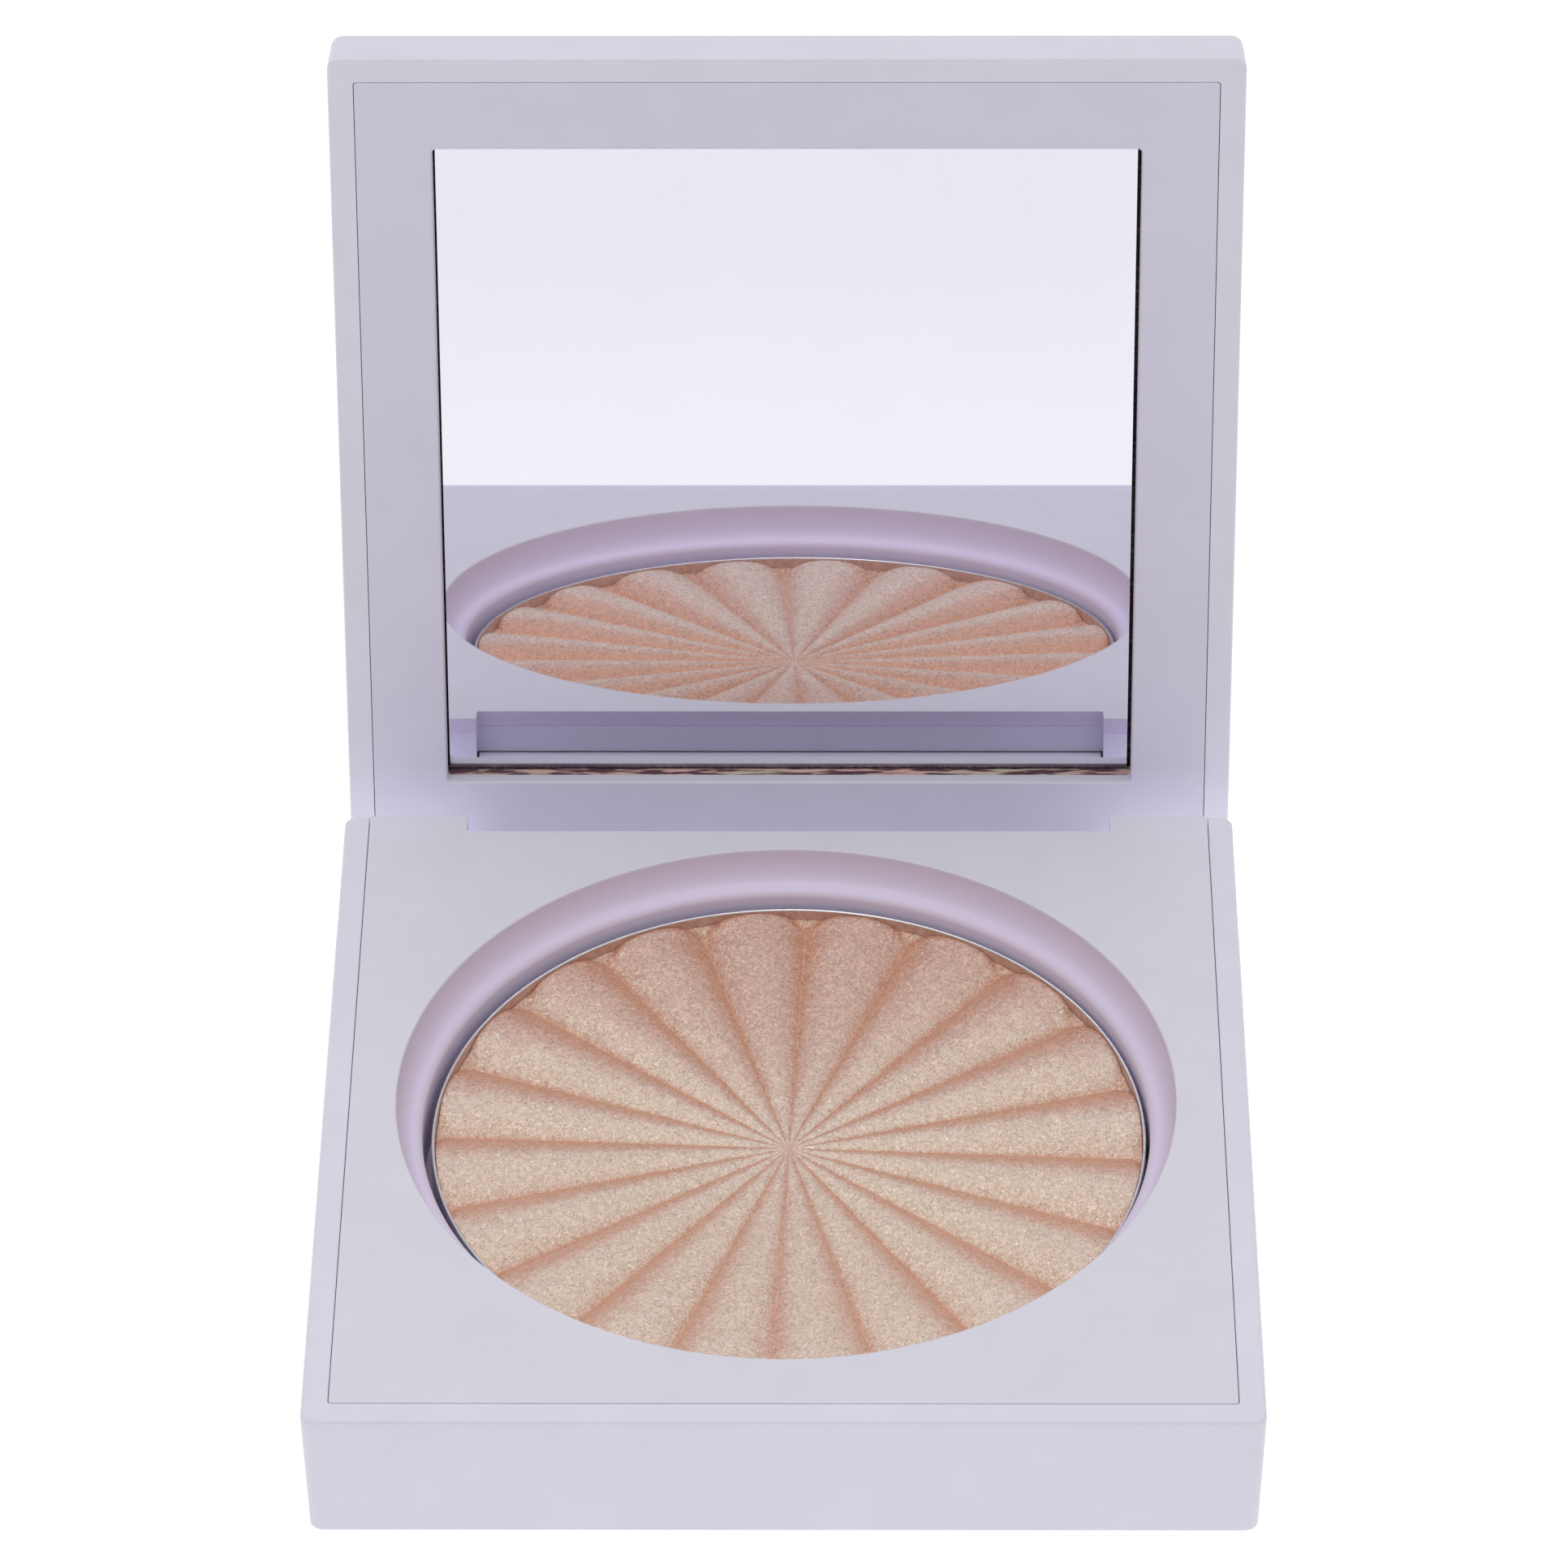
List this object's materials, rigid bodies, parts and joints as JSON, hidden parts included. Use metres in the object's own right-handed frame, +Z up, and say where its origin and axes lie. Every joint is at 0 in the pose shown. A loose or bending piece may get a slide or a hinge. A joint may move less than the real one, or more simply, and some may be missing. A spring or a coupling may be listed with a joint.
{
  "type": "powder compact",
  "caption": "Square hinged powder compact, shown open: mirrored lid, round well with a metal pan of pressed powder in a sunburst relief.",
  "frame": {"origin": "centre of the base's flat underside", "axes": "+Z up out of the well, +X to the right as seen from the front, +Y from the front edge to the hinge at the back"},
  "size_m": [0.076, 0.0999, 0.0774],
  "materials": {
    "case_plastic": "satin lavender moulded plastic",
    "deck_plastic": "fine satin lavender moulded plastic",
    "frame_plastic": "satin lavender moulded plastic",
    "shimmer_powder": "pressed shimmer powder, peach with a pale gold sheen",
    "pan_tin": "bright stamped tinplate",
    "pin_steel": "drawn steel wire",
    "magnet_nickel": "nickel-plated magnet",
    "mirror_glass": "silvered float glass with cut edges",
    "glue_film": "dark adhesive film"
  },
  "bodies": {
    "base": {"base_shell": "case_plastic", "base_insert": "deck_plastic", "powder_pan": "pan_tin", "pressed_powder": "shimmer_powder", "pan_adhesive": "glue_film", "base_magnet_left": "magnet_nickel", "base_magnet_right": "magnet_nickel", "hinge_pin_left": "pin_steel", "hinge_pin_right": "pin_steel"},
    "lid": {"lid_shell": "case_plastic", "lid_frame": "frame_plastic", "mirror_glass": "mirror_glass", "mirror_adhesive": "glue_film", "lid_magnet_left": "magnet_nickel", "lid_magnet_right": "magnet_nickel"}
  },
  "joints": [
    {"name": "lid_hinge", "type": "hinge", "parent": "base", "child": "lid", "pos_m": [0, 0.03636, 0.00552], "axis": [1, 0, 0], "range_deg": [0, 100.4]}
  ]
}
